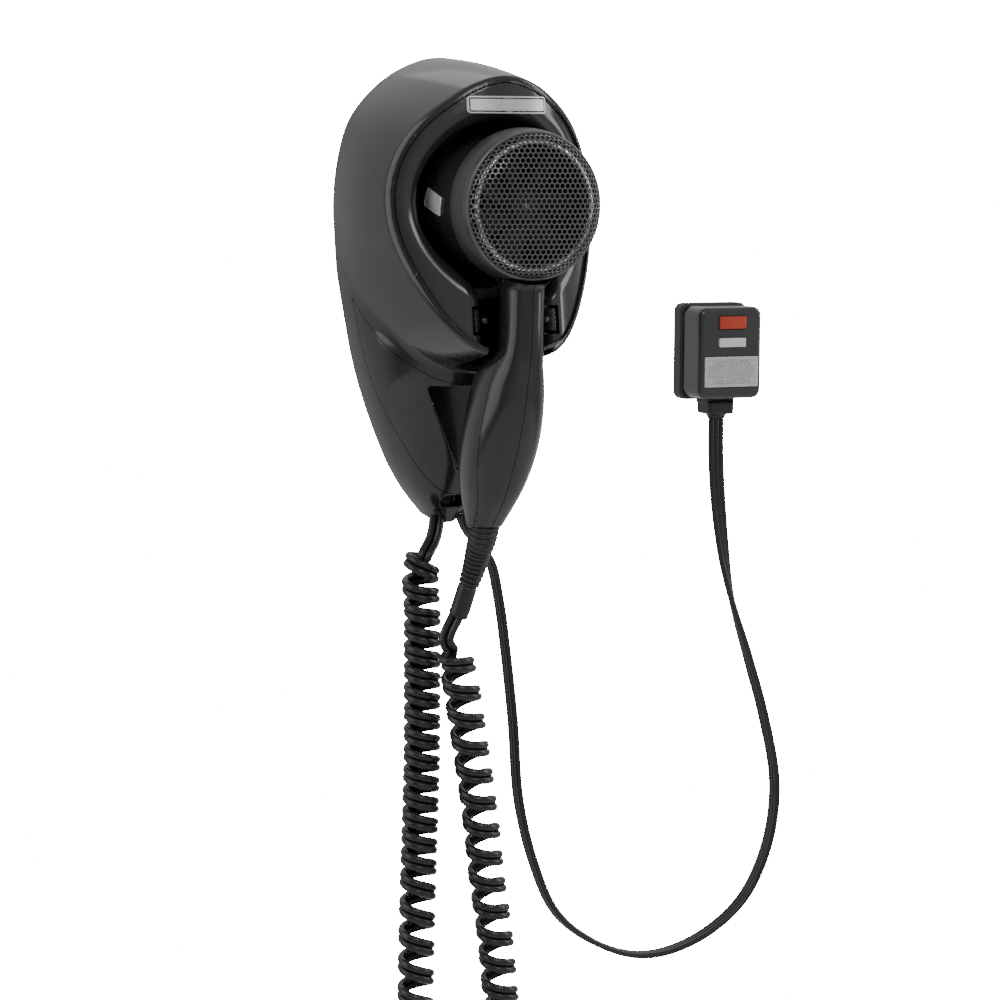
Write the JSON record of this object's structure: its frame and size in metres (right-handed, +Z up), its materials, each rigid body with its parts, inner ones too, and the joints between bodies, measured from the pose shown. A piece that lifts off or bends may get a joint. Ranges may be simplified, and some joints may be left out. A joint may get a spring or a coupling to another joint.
{
  "type": "wall-mounted hair dryer holder with its hard-wired dryer",
  "caption": "Teardrop wall holder in glossy black with a ball-clip cradle, the hair dryer that hangs in it, its curly cord, and a power lead with a leakage-guard plug.",
  "frame": {"origin": "centre of the back of the wall plate, on the wall plane, 42 mm below the dryer barrel axis", "axes": "+Z up the wall, +Y into the wall, +X to the right as seen from the front; the dryer faces -Y"},
  "size_m": [0.2365, 0.118, 0.52],
  "materials": {
    "gloss_black": "polished moulded black plastic",
    "satin_black": "fine satin moulded black plastic",
    "inner_black": "plain dull black plastic",
    "black_rubber": "smooth black rubber and vinyl",
    "silver_trim": "brushed",
    "steel": "plated",
    "brass": "bright",
    "pale_board": "pressed mica and pale nylon",
    "circuit_board": "lacquered board",
    "red_button": "glossy",
    "white_button": "glossy",
    "clear_lens": "clear moulded"
  },
  "bodies": {
    "root": {"wall_plate": "satin_black", "holder_housing": "gloss_black", "tail_cover": "gloss_black", "front_bezel": "gloss_black", "badge_plate": "silver_trim", "cradle_cup": "satin_black", "handle_trough": "gloss_black", "terminal_block": "pale_board", "cord_clamp": "satin_black", "lock_screw": "steel", "coil_grommet": "black_rubber", "lead_grommet": "black_rubber", "plug_back_shell": "satin_black", "plug_front_cover": "satin_black", "plug_lens": "clear_lens", "plug_board": "circuit_board", "plug_lamp": "clear_lens", "plug_blade_line": "brass", "plug_blade_neutral": "brass", "plug_gland": "black_rubber", "coil_stub_holder": "black_rubber", "coil_cord": "black_rubber", "coil_stub_dryer": "black_rubber", "power_lead": "black_rubber"},
    "clip_left": {"retaining_clip_left": "gloss_black"},
    "clip_right": {"retaining_clip_right": "gloss_black"},
    "dryer": {"body_left_shell": "gloss_black", "body_right_shell": "gloss_black", "handle_rear_cover": "gloss_black", "rear_collar": "satin_black", "intake_grille": "satin_black", "grille_liner": "silver_trim", "outlet_grille": "inner_black", "motor_can": "steel", "motor_mount": "inner_black", "heater_frame": "pale_board", "heater_coil": "steel", "switch_board": "circuit_board", "label_plate": "silver_trim", "handle_screw_upper": "steel", "handle_screw_lower": "steel", "strain_relief": "black_rubber"},
    "fan": {"fan_shaft": "steel", "fan_impeller": "inner_black"},
    "speed_switch": {"speed_slider": "satin_black"},
    "heat_switch": {"heat_slider": "satin_black"},
    "cool_button": {"cool_shot_button": "white_button"},
    "test_button": {"plug_test_button": "red_button"},
    "reset_button": {"plug_reset_button": "white_button"}
  },
  "joints": [
    {"name": "dryer_lift_off", "type": "slide", "parent": "root", "child": "dryer", "axis": [0, -1, 0], "range_m": [0, 0.08]},
    {"name": "clip_left_flex", "type": "hinge", "parent": "root", "child": "clip_left", "pos_m": [-0.0176, -0.061, -0.0088], "axis": [0, 0, -1], "range_deg": [0, 4], "stiffness_Nm_per_rad": 0.6},
    {"name": "clip_right_flex", "type": "hinge", "parent": "root", "child": "clip_right", "pos_m": [0.0176, -0.061, -0.0088], "axis": [0, 0, 1], "range_deg": [0, 4], "stiffness_Nm_per_rad": 0.6},
    {"name": "fan_spin", "type": "hinge", "parent": "dryer", "child": "fan", "pos_m": [0, -0.084, 0.042], "axis": [0, 1, 0], "continuous": true},
    {"name": "speed_slide", "type": "slide", "parent": "dryer", "child": "speed_switch", "axis": [0, 0.2676, -0.9635], "range_m": [-0.0042, 0.0042]},
    {"name": "heat_slide", "type": "slide", "parent": "dryer", "child": "heat_switch", "axis": [0, 0.2676, -0.9635], "range_m": [-0.0042, 0.0042]},
    {"name": "cool_shot_press", "type": "slide", "parent": "dryer", "child": "cool_button", "axis": [0, -0.9635, -0.2676], "range_m": [0, 0.0015], "stiffness_N_per_m": 200},
    {"name": "plug_test_press", "type": "slide", "parent": "root", "child": "test_button", "axis": [0, 1, 0], "range_m": [0, 0.0009], "stiffness_N_per_m": 300},
    {"name": "plug_reset_press", "type": "slide", "parent": "root", "child": "reset_button", "axis": [0, 1, 0], "range_m": [0, 0.0009], "stiffness_N_per_m": 300}
  ]
}
